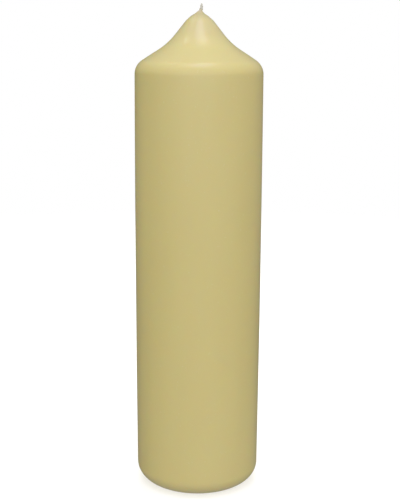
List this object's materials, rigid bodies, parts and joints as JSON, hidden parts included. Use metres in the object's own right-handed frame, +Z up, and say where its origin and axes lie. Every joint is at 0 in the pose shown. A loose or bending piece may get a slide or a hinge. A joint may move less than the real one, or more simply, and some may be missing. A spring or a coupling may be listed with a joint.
{
  "type": "unity candle",
  "caption": "Tall ivory pillar candle with a rounded bottom edge, a tight shoulder, a drawn-up point and a short waxed wick.",
  "frame": {"origin": "centre of the flat base, on the surface that the candle stands on", "axes": "+Z up along the candle's axis to the wick; X and Y are alike, apart from the flat wick plait, which lies 20 degrees from +X"},
  "size_m": [0.07, 0.07, 0.2704],
  "materials": {
    "ivory_skin": "satin hard wax, soft sheen, light scatters inside",
    "core_wax": "matt pressed wax granules",
    "wick_cotton": "matt bleached cotton",
    "priming_wax": "translucent satin wax",
    "tinplate": "bright tinplate"
  },
  "bodies": {
    "root": {"pressed_core": "core_wax", "overdip_skin": "ivory_skin", "wick_strand_1": "wick_cotton", "wick_strand_2": "wick_cotton", "wick_strand_3": "wick_cotton", "wick_wax": "priming_wax", "wick_sustainer": "tinplate"}
  },
  "joints": []
}
